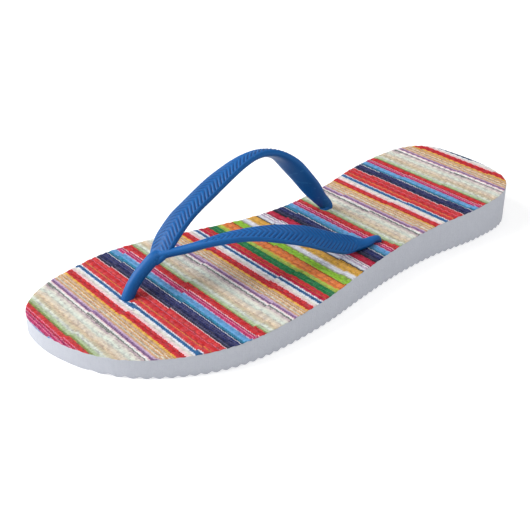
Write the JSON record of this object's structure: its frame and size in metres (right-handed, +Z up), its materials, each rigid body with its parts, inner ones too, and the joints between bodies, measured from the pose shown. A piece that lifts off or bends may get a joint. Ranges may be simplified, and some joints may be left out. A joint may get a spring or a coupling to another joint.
{
  "type": "flip flop",
  "caption": "Left-foot flip flop with a flat rubber sole, a striped printed footbed, a ribbed outsole and a Y-shaped moulded strap held by plugs underneath; the sole bends at the ball.",
  "frame": {"origin": "middle of the sole's footprint, on the ground", "axes": "+Z up from the ground; +Y along the sole, from the toe to the heel; +X across, towards the little-toe side of this left shoe"},
  "size_m": [0.1024, 0.258, 0.0539],
  "materials": {
    "footbed_print": "matt printed rubber with a fine grain, in crosswise stripes of many colours",
    "outsole_rubber": "matt white expanded rubber, die cut, ribbed underneath",
    "strap_plastic": "satin blue moulded soft plastic with a fine herringbone relief"
  },
  "bodies": {
    "rear_sole": {"rear_footbed": "footbed_print", "rear_outsole": "outsole_rubber", "strap_medial_branch": "strap_plastic", "strap_lateral_branch": "strap_plastic", "strap_medial_plug": "strap_plastic", "strap_lateral_plug": "strap_plastic"},
    "forefoot": {"forefoot_footbed": "footbed_print", "forefoot_outsole": "outsole_rubber", "strap_toe_post": "strap_plastic", "strap_toe_plug": "strap_plastic"}
  },
  "joints": [
    {"name": "ball_flex", "type": "hinge", "parent": "rear_sole", "child": "forefoot", "pos_m": [0, -0.05, 0.01146], "axis": [-1, 0, 0], "range_deg": [0, 45], "stiffness_Nm_per_rad": 0.8, "deforming": ["strap_medial_branch", "strap_lateral_branch"]}
  ]
}
